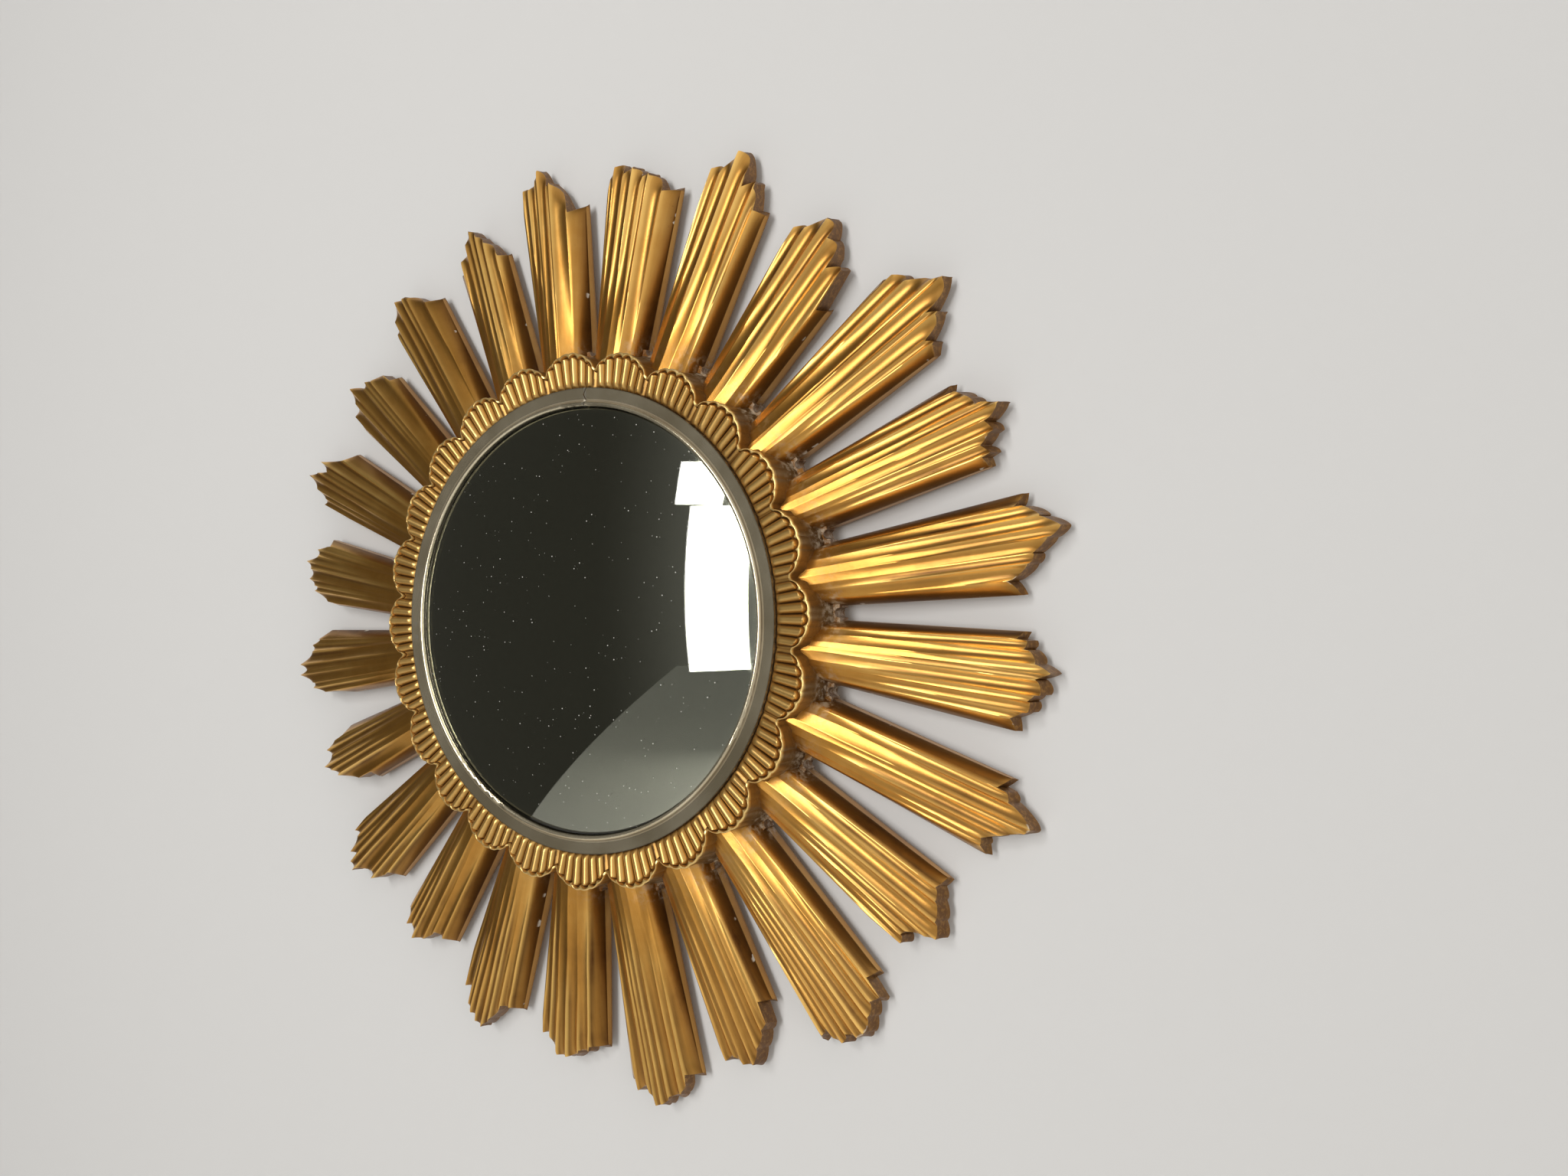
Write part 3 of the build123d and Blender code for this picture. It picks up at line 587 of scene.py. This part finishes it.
def ray_solid(index, start, flutes, first):
    """One closed ray: its front sheet, walls round it that slope outwards, and a flat back."""
    angle = PITCH * (index - 0.5)
    u, x, h, ridge_highlight, shade_and_patina, edge, grain, foot = ray_sheet(start, flutes, end_bite(angle))
    rows, columns = u.shape
    number = np.arange(rows * columns).reshape(rows, columns)
    loop = np.r_[number[:-1, 0], number[-1, :-1], number[:0:-1, -1], number[0, :0:-1]]
    layers = {"ridge_highlight": ridge_highlight.ravel(), "shade_and_patina": shade_and_patina.ravel(), "edge": edge.ravel(),
              "cut": np.zeros(rows * columns)}
    scale = 1 + (CUT_HEIGHT - h) * CUT_SLOPE
    run = np.zeros_like(u)
    run[-1] = foot
    fu, fx, fh = (u * scale).ravel(), (x * scale).ravel(), h.ravel()
    fr, fg = run.ravel(), grain.reshape(-1, 3)
    us, xs, hs = [fu], [fx], [fh]
    grains = [fg]
    rough_cut = chance.uniform(0, 0.45, (len(WALL_SHARES), len(loop)))
    over_well = (loop < columns) & (fu[loop] < WELL_OUTSIDE + 0.4)
    for step, share in enumerate(WALL_SHARES):
        inward = rough_cut[step] * (0 < step < len(WALL_SHARES) - 1)
        wall_u = fu[loop] - inward + share * fr[loop]
        wall_h = fh[loop] + share * (RAY_BACK - fh[loop])
        us.append(np.where(over_well & (step >= 2), WELL_OUTSIDE + 0.4, wall_u))
        xs.append(fx[loop])
        hs.append(np.where(over_well & (step in (1, 2)), WELL_ROOF, wall_h))
        wall_grain = fg[loop].copy()
        wall_grain[:, 2] += 1 + 2 * share
        grains.append(wall_grain)
        cut = np.where(fr[loop] > 0, CUT_END, CUT_SIDE)
        layers["cut"] = np.r_[layers["cut"], cut if share < 1 else 0 * cut + CUT_BACK]
        for layer in ("ridge_highlight", "edge"):
            layers[layer] = np.r_[layers[layer], 0 * loop]
        # Painted shade that deepens down the walls, towards the back.
        layers["shade_and_patina"] = np.r_[layers["shade_and_patina"], 0 * loop + 0.15 + 0.4 * share]
    u, x, h = (np.concatenate(values) for values in (us, xs, hs))
    layers["grain"] = np.concatenate(grains)
    scale = np.minimum(1, END_RADIUS / np.hypot(u, x))
    faces = grid_faces(rows, columns, first)
    ring, size = loop + first, len(loop)
    for step in range(len(WALL_SHARES)):
        below = first + rows * columns + step * size + np.arange(size)
        faces += np.stack([ring, np.roll(ring, -1), np.roll(below, -1), below], -1).tolist()
        ring = below
    faces.append(ring.tolist())
    return polar(u * scale, x * scale, h, angle), faces, layers


# %% All the rays as one piece
points, faces, layers, first = [], [], [], 0
for index, (start, flutes) in enumerate(RAYS):
    ray_points, ray_faces, ray_layers = ray_solid(index, start, flutes, first)
    points.append(ray_points)
    faces += ray_faces
    layers.append(ray_layers)
    first += len(ray_points)
sun_rays = make_piece("sun_rays", np.concatenate(points), faces,
                      {key: np.concatenate([one[key] for one in layers]) for key in layers[0]}, 48)
finish_piece(sun_rays, ray_gilding, "mirror_body", "gilded_composite", "sunburst_frame")

# %% [markdown]
# ## The collar of shells
# Twenty-four equal shells stand side by side over the gaps between the rays. One shell is drawn
# as a sheet: six rounded lobes with grooves between them, a hollow round the lobes' ends and a
# wavy rim, then the wall that falls to the web behind. A painted highlight lies on the rim and the
# lobes, and painted shade in the grooves, between the shells and down the wall. At the notches the
# wall stops higher, above the well, where the root of a ray meets it. Geometry Nodes turn copies of
# the sheet round the axis and weld them into one closed ring.

# %% One shell
SHELL_LOBES = 6
LOBE_HEIGHTS = np.array([0.92, 1.06, 0.96, 1.08, 0.98, 0.90, 0.90])
GORE_SHARE = 0.9
SHELL_WELD = 0.00003
LOBE_SHARES = np.array([0, 0.035, 0.08, 0.15, 0.26, 0.38, 0.5, 0.62, 0.74, 0.85, 0.92, 0.965])
TOP_ROWS = np.r_[np.linspace(0, 0.7, 11), np.linspace(0.735, 1.0, 17)]
WALL_ROWS = np.linspace(0.0, 1.0, 9)[1:]
notch_x, notch_y = SHELL_NOTCH * sin(radians(PITCH / 2)), SHELL_NOTCH * cos(radians(PITCH / 2))
rim_centre = (SHELL_CREST**2 - notch_x**2 - notch_y**2) / (2 * (SHELL_CREST - notch_y))
rim_curve = SHELL_CREST - rim_centre
rim_turn = asin(notch_x / rim_curve)


def shell_sheet():
    """One shell at the top of the ring: place and height of its points, and its layers."""
    lobes = np.concatenate([i + LOBE_SHARES for i in range(SHELL_LOBES)] + [[SHELL_LOBES]])
    a = GORE_SHARE * (2 * lobes / SHELL_LOBES - 1)
    a = np.r_[-1, -0.95, a, 0.95, 1]
    lobe = np.clip((a / GORE_SHARE + 1) / 2 * SHELL_LOBES, 0, SHELL_LOBES)
    in_gore = np.clip((np.abs(a) - GORE_SHARE) / (1 - GORE_SHARE), 0, 1)
    f = lobe - np.floor(lobe)
    dome = (1 - np.abs(2 * f - 1) ** 2.3) * (np.abs(a) < GORE_SHARE)
    dome = dome * LOBE_HEIGHTS[np.floor(lobe).astype(int)]

    inner_turn = radians(PITCH / 2) * a
    wavy = rim_curve - 0.55 * (1 - dome) * (np.abs(a) < 0.999)
    out_x, out_y = wavy * np.sin(rim_turn * a), rim_centre + wavy * np.cos(rim_turn * a)
    in_x, in_y = TRIM_RECESS * np.sin(inner_turn), TRIM_RECESS * np.cos(inner_turn)
    b = TOP_ROWS[:, None]
    x, y = in_x + b * (out_x - in_x), in_y + b * (out_y - in_y)
    base = 39.3 + 0.9 * b - 0.9 * in_gore
    lobe_end = 0.795 + 0.080 * dome
    rises = soft(b, -0.02, 0.12) * soft(b, lobe_end + 0.02, lobe_end - 0.05)
    h = base - 1.0 + (2.3 + 1.3 * b) * dome * rises
    groove = np.exp(-(((b - lobe_end - 0.030) / 0.024) ** 2))
    rim = soft(b, lobe_end + 0.04, lobe_end + 0.08) * soft(b, 1.06, 0.965)
    h = h - 0.7 * groove * (1 - 0.6 * in_gore) + 2.0 * rim

    # Painted highlight on the rim and the tops of the lobes; painted shade in the groove behind the
    # lobes, between the lobes, in the gores between shells and along the inner edge.
    ridge_highlight = np.clip(1.1 * rim + 0.35 * np.clip(dome, 0, 1) ** 3 * rises, 0, 1)
    between = np.exp(-((np.minimum(f, 1 - f) / 0.10) ** 2)) * (np.abs(a) < GORE_SHARE + 0.01)
    shade_and_patina = np.clip(groove + 0.95 * between * rises + 0.5 * in_gore * (1 - rim)
                     + 0.7 * soft(b, 0.05, 0.0), 0, 1)

    w = WALL_ROWS[:, None]
    top = h[-1]
    low_foot = WEB_HEIGHT - 0.4
    foot = low_foot + (WELL_ROOF - low_foot) * soft(np.abs(a), 0.62, 0.74)
    wall_h = top + w * (foot - top)
    push = 2.2 * w**3 - 0.5 * np.sin(pi * w) * 1.0
    length = np.hypot(out_x, out_y - rim_centre)
    wall_x = out_x + push * out_x / length * (1 - np.abs(a) ** 6)
    wall_y = out_y + push * (out_y - rim_centre) / length
    shade = 0.30 + 0.5 * w + 0 * out_x
    under = np.minimum(WELL_OUTSIDE + 0.2, np.hypot(wall_x[-1], wall_y[-1]) - 0.3)
    roof = WELL_ROOF + 0.4
    closing = [(under, foot), (under - 0.2, roof), (TRIM_RECESS + 0.7, roof),
               (TRIM_RECESS, TRIM_SEAT)]
    x = np.vstack([x, wall_x] + [r * np.sin(inner_turn) for r, _ in closing])
    y = np.vstack([y, wall_y] + [r * np.cos(inner_turn) for r, _ in closing])
    h = np.vstack([h, wall_h] + [0 * a + height for _, height in closing])
    hidden = np.zeros((len(closing), len(a)))
    ridge_highlight = np.vstack([ridge_highlight, 0 * shade, hidden])
    shade_and_patina = np.vstack([shade_and_patina, shade, hidden + 0.7])
    cut = np.vstack([np.zeros((len(TOP_ROWS), len(a))), 0.18 + 0.35 * shade, hidden])
    edge = np.zeros_like(h)
    edge[len(TOP_ROWS) - 2] = 0.35
    return x, y, h, {"ridge_highlight": ridge_highlight, "shade_and_patina": shade_and_patina, "cut": cut, "edge": edge,
                     "grain": np.stack([y * 0.16, x * 0.5, h * 0.5], -1)}


x, y, h, shell_layers = shell_sheet()
shell_points = polar(y, x, h, 0)
shell_layers = {key: values.reshape(-1, 3) if values.ndim == 3 else values.ravel()
                for key, values in shell_layers.items()}
shell_faces = grid_faces(*h.shape, wrap_rows=True)
shell_collar = make_piece("shell_collar", shell_points, shell_faces, shell_layers)
print("one shell", h.shape, triangles(shell_collar.data), "triangles")


# %% Copies turned round the axis
def turned_round(piece, count, weld, material):
    """Geometry Nodes: copies of a piece turned round the mirror's axis, welded where they meet."""
    tree = bpy.data.node_groups.new(piece.name + "_ring", "GeometryNodeTree")
    tree.interface.new_socket("Geometry", in_out="INPUT", socket_type="NodeSocketGeometry")
    asked = {"Count": ("NodeSocketInt", count), "Step": ("NodeSocketFloat", 2 * pi / count),
             "Weld": ("NodeSocketFloat", weld)}
    names = {key: tree.interface.new_socket(key, in_out="INPUT", socket_type=kind).identifier
             for key, (kind, _) in asked.items()}
    tree.interface.new_socket("Geometry", in_out="OUTPUT", socket_type="NodeSocketGeometry")

    def add(kind, links, **settings):
        made = tree.nodes.new(kind)
        for key, value in settings.items():
            setattr(made, key, value)
        for key, value in links.items():
            if isinstance(value, bpy.types.NodeSocket):
                tree.links.new(value, made.inputs[key])
            else:
                made.inputs[key].default_value = value
        return made.outputs[0] if made.outputs else None

    given = tree.nodes.new("NodeGroupInput").outputs
    index = add("GeometryNodeInputIndex", {})
    turn = add("ShaderNodeMath", {0: index, 1: given["Step"]}, operation="MULTIPLY")
    spots = add("GeometryNodePoints", {"Count": given["Count"]})
    about = add("ShaderNodeCombineXYZ", {"Y": turn})
    copies = add("GeometryNodeInstanceOnPoints",
                 {"Points": spots, "Instance": given["Geometry"], "Rotation": about})
    real = add("GeometryNodeRealizeInstances", {"Geometry": copies})
    welded = add("GeometryNodeMergeByDistance", {"Geometry": real, "Distance": given["Weld"]})
    painted = add("GeometryNodeSetMaterial", {"Geometry": welded, "Material": material})
    add("NodeGroupOutput", {"Geometry": painted})

    modifier = piece.modifiers.new("ring", "NODES")
    modifier.node_group = tree
    for key, (_, value) in asked.items():
        modifier[names[key]] = value
    seen_by = bpy.context.evaluated_depsgraph_get()
    evaluated = piece.evaluated_get(seen_by)
    made = bpy.data.meshes.new_from_object(evaluated, preserve_all_data_layers=True, depsgraph=seen_by)
    piece.modifiers.remove(modifier)
    piece.data = made
    face_out(made, 40)


turned_round(shell_collar, RAY_COUNT, SHELL_WELD, shell_gilding)
finish_piece(shell_collar, shell_gilding, "mirror_body", "gilded_composite", "sunburst_frame")

# %% [markdown]
# ## The web and the well behind
# Behind the collar the casting is a turned ring: a web that joins the rays, with a rounded slot
# between each two, the land that rests on the wall, and the well that takes the glass from behind.
# One closed section is carried round, and only its outer edge moves in and out for the slots. Its
# back lies a hair in front of the rays' backs, so that the two don't fight for one plane.

# %% Turned ring with slots
WEB_MIDDLE, CORE_RADIUS, OPENING_RADIUS = 173.0, 150.0, 138.6
BED_HEIGHT, CHAMFER, WEB_BACK, CORE_TOP = 29.0, 0.8, RAY_BACK + 0.3, WELL_ROOF + 0.6
slot_x = SLOT_HALF * np.sin(np.linspace(-pi / 2, pi / 2, 11))
slot_edge = SLOT_START + SLOT_HALF - np.sqrt(np.clip(SLOT_HALF**2 - slot_x**2, 0, None))
web_x = np.r_[-2.95, slot_x, 2.95, np.linspace(5, 40, 7)]
web_edge = np.r_[WEB_RADIUS, slot_edge, WEB_RADIUS, np.full(7, WEB_RADIUS)]
turns, edges = [], []
for gap in range(RAY_COUNT):
    turns.append(radians(PITCH * gap) + web_x / WEB_MIDDLE)
    edges.append(web_edge)
turns, edges = np.concatenate(turns), np.concatenate(edges)
# Radius and height of each corner. None stands for the outer edge, with its slots.
section = [(OPENING_RADIUS, BED_HEIGHT), (OPENING_RADIUS, TRIM_SEAT), (CORE_RADIUS, TRIM_SEAT),
           (CORE_RADIUS, CORE_TOP), (WELL_OUTSIDE, CORE_TOP), (WELL_OUTSIDE, WEB_HEIGHT),
           (None, WEB_HEIGHT), (None, WEB_BACK), (LAND_RADIUS, WEB_BACK), (LAND_RADIUS, CHAMFER),
           (LAND_RADIUS - CHAMFER, 0.0), (WELL_RADIUS + CHAMFER, 0.0), (WELL_RADIUS, CHAMFER),
           (WELL_RADIUS, WELL_TOP), (BOARD_POCKET, WELL_TOP), (BOARD_POCKET, BED_HEIGHT)]
ring_points = []
for radius, height in section:
    r = edges if radius is None else np.full_like(edges, radius)
    ring_points.append(MM * np.stack([r * np.sin(turns), 0 * r - height, r * np.cos(turns)], -1))
ring_points = np.array(ring_points)
rows, columns = ring_points.shape[:2]
flat = rows * columns
ring_layers = {"ridge_highlight": np.zeros(flat), "shade_and_patina": np.full(flat, 0.75), "cut": np.full(flat, 0.35),
               "edge": np.zeros(flat), "grain": ring_points.reshape(-1, 3) * 180}
ring_faces = grid_faces(rows, columns, wrap_rows=True, wrap_columns=True)
casting_core = make_piece("casting_core", ring_points, ring_faces, ring_layers, 35)
finish_piece(casting_core, ray_gilding, "mirror_body", "gilded_composite", "sunburst_frame")

# %% [markdown]
# ## The glass and its silvering
# A convex mirror shows every facet, so the dome is turned again with many fine steps. The glass is
# a clear shell, and the silvering lies behind it, which gives the slight double picture of a real
# back-silvered mirror. Tiny specks of dust and silvering loss are in the finishes.


# %% Domes
def dome_height(radius, depth):
    return GLASS_APEX - GLASS_CURVE + np.sqrt((GLASS_CURVE - depth) ** 2 - radius**2)


def domed_disc(name, front, back):
    """A dished disc between two depths behind the front of the glass, with closed poles."""
    radii = GLASS_RADIUS * np.sin(np.linspace(0, pi / 2, 40))[1:]
    steps = [(radius, dome_height(radius, front)) for radius in radii]
    steps += [(radius, dome_height(radius, back)) for radius in radii[::-1]]
    turns = np.linspace(0, 2 * pi, 192, endpoint=False)
    sheet = [MM * np.stack([r * np.sin(turns), 0 * turns - height, r * np.cos(turns)], -1)
             for r, height in steps]
    poles = [(0, -MM * dome_height(0, front), 0), (0, -MM * dome_height(0, back), 0)]
    size, count = len(turns), len(steps) * len(turns)
    faces = grid_faces(len(steps), size, wrap_columns=True)
    last = count - size
    faces += [(count, (j + 1) % size, j) for j in range(size)]
    faces += [(count + 1, last + j, last + (j + 1) % size) for j in range(size)]
    return make_piece(name, np.vstack([np.concatenate(sheet), poles]), faces, None, 50)


def specks(finish, place, scale, share, low, high):
    """A few small round spots at random places."""
    values = {"Vector": place, "Scale": scale, "Randomness": 1.0}
    cells = finish.node("TexVoronoi", None, values)
    chosen = finish.node("TexVoronoi", None, values, 1)
    red = finish.node("SeparateColor", None, {0: chosen})
    return cells.over(high, low) * red.over(share, share + 0.02)


glass = Finish("clear_glass")
spot = glass.place()
clear = glass.node("BsdfPrincipled", None, {"Base Color": (0.93, 0.96, 0.93), "Roughness": 0.0,
                                            "IOR": 1.5, "Transmission Weight": 1.0})
dust = glass.node("BsdfDiffuse", None, {"Color": (0.8, 0.8, 0.76)})
dusty = specks(glass, spot, 240.0, 0.64, 0.055, 0.095)
glass.show(glass.node("MixShader", None, {0: dusty, 1: clear, 2: dust}))

silver = Finish("silvering_coat")
spot = silver.place()
haze = silver.noise(spot, 9.0, 4.0, 0.6)
bloom = silver.away(spot).over(0.128, 0.1375)
lost = specks(silver, spot, 38.0, 0.94, 0.035, 0.06)
# The silvering's dark tone is a painted reflection of a dark room; the haze varies it at random.
tone = silver.mix(haze, (0.34, 0.34, 0.29), (0.40, 0.40, 0.35))
tone = silver.mix(bloom * 0.35, tone, (0.62, 0.60, 0.52))
tone = silver.mix(lost, tone, (0.05, 0.045, 0.035))
silver.shade(Base_Color=tone, Metallic=1.0, Roughness=0.015 + 0.12 * bloom * haze + 0.4 * lost)

mirror_dome = domed_disc("mirror_dome", 0.0, GLASS_THICK)
silver_dome = domed_disc("silver_dome", GLASS_THICK + 0.02, GLASS_THICK + 0.3)
finish_piece(mirror_dome, glass.material, "mirror_body", "glass", "mirror_glass")
finish_piece(silver_dome, silver.material, "mirror_body", "silvering", "mirror_silvering")

# %% [markdown]
# ## Finishes for the measured pieces
# The trim ring, the board and the fittings have the right shape already, so they keep it and only
# get a finish. The ring's colour follows its radius: painted shade and some grime sit in the groove
# and at the outer edge, and the raised lip has a painted highlight. Two knocks at the left and a
# crack near the top are in its colour only.

# %% Brass trim
CRACK_ANGLE = 5.0
brass = Finish("brass_trim")
spot = brass.place()
radius = brass.away(spot)
cloud = brass.noise(spot, 16.0, 5.0, 0.6)
fine = brass.noise(spot, 520.0, 3.0, 0.7)
# Painted highlight on the raised lip, painted shade in the groove and at the outer edge where the
# shells meet it, and speckles of grime.
lip = radius.over(0.1366, 0.1360) * radius.over(0.1344, 0.1350)
groove = (radius - 0.1379).size().over(0.0011, 0.0002)
outer = radius.over(0.1452, 0.1459)
tone = brass.mix(cloud.over(0.35, 0.7), (0.60, 0.52, 0.36), (0.82, 0.74, 0.56))
tone = brass.mix(lip * 0.7, tone, (0.90, 0.82, 0.62))
shade_and_grime = groove * 0.75 + outer * 0.5 + fine.over(0.66, 0.78) * 0.4
tone = brass.mix(shade_and_grime, tone, (0.12, 0.085, 0.045))
knocks = (brass.away(spot, -0.1415, -0.0085).over(0.0018, 0.0011)
          + brass.away(spot, -0.1420, 0.0010).over(0.0014, 0.0008))
tone = brass.mix(knocks, tone, (0.74, 0.70, 0.60))
along_x, along_z = sin(radians(CRACK_ANGLE)), cos(radians(CRACK_ANGLE))
beside = brass.part(spot, 0) * along_z - brass.part(spot, 2) * along_x
ragged = brass.noise(spot, 420.0, 3.0, 0.6) * 0.0022 - 0.0011
crack = (beside + ragged).size().over(0.0014, 0.0007) * brass.part(spot, 2).over(0.0, 0.05)
tone = brass.mix(crack, tone, (0.78, 0.73, 0.60))
brass.shade(Base_Color=tone, Metallic=0.9 - 0.5 * groove,
            Roughness=0.17 + 0.25 * groove + 0.12 * cloud, Normal=brass.bump(fine, 0.0002, 0.6))

# %% Steel fittings, board and felt
steel = Finish("zinc_steel")
spot = steel.place()
cloud = steel.noise(spot, 60.0, 4.0, 0.6)
fine = steel.noise(spot, 900.0, 2.0, 0.6)
tone = steel.mix(cloud.over(0.35, 0.7), (0.46, 0.46, 0.44), (0.68, 0.67, 0.63))
tone = steel.mix(steel.noise(spot, 210.0, 4.0, 0.7).over(0.62, 0.72), tone, (0.24, 0.16, 0.09))
steel.shade(Base_Color=tone, Metallic=0.95, Roughness=0.30 + 0.22 * cloud,
            Normal=steel.bump(fine, 0.0001, 0.5))

board = Finish("hardboard")
spot = board.place()
fibres = board.noise(spot, 260.0, 6.0, 0.75)
patches = board.noise(spot, 12.0, 3.0, 0.5)
tone = board.mix(fibres.over(0.3, 0.7), (0.17, 0.095, 0.05), (0.36, 0.22, 0.125))
tone = board.mix(patches.over(0.45, 0.75) * 0.4, tone, (0.27, 0.18, 0.12))
board.shade(Base_Color=tone, Roughness=0.62 + 0.2 * fibres, Normal=board.bump(fibres, 0.0003, 0.7))

felt = Finish("grey_felt")
spot = felt.place()
fuzz = felt.noise(spot, 700.0, 5.0, 0.8)
tone = felt.mix(fuzz.over(0.3, 0.7), (0.09, 0.085, 0.08), (0.22, 0.21, 0.19))
felt.shade(Base_Color=tone, Roughness=0.95, Normal=felt.bump(fuzz, 0.0006))

kept = {"trim_ring": brass, "backing_board": board, "packing_ring": felt, "button_screws": steel,
        "hanger_screws": steel}
fittings = ("turn_button", "hanger_strap", "hanger_ring")
kept.update({name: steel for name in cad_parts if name.startswith(fittings)})
for name, finish in kept.items():
    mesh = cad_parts[name].data
    mesh.materials.clear()
    mesh.materials.append(finish.material)
print("finished", len(kept), "measured pieces")
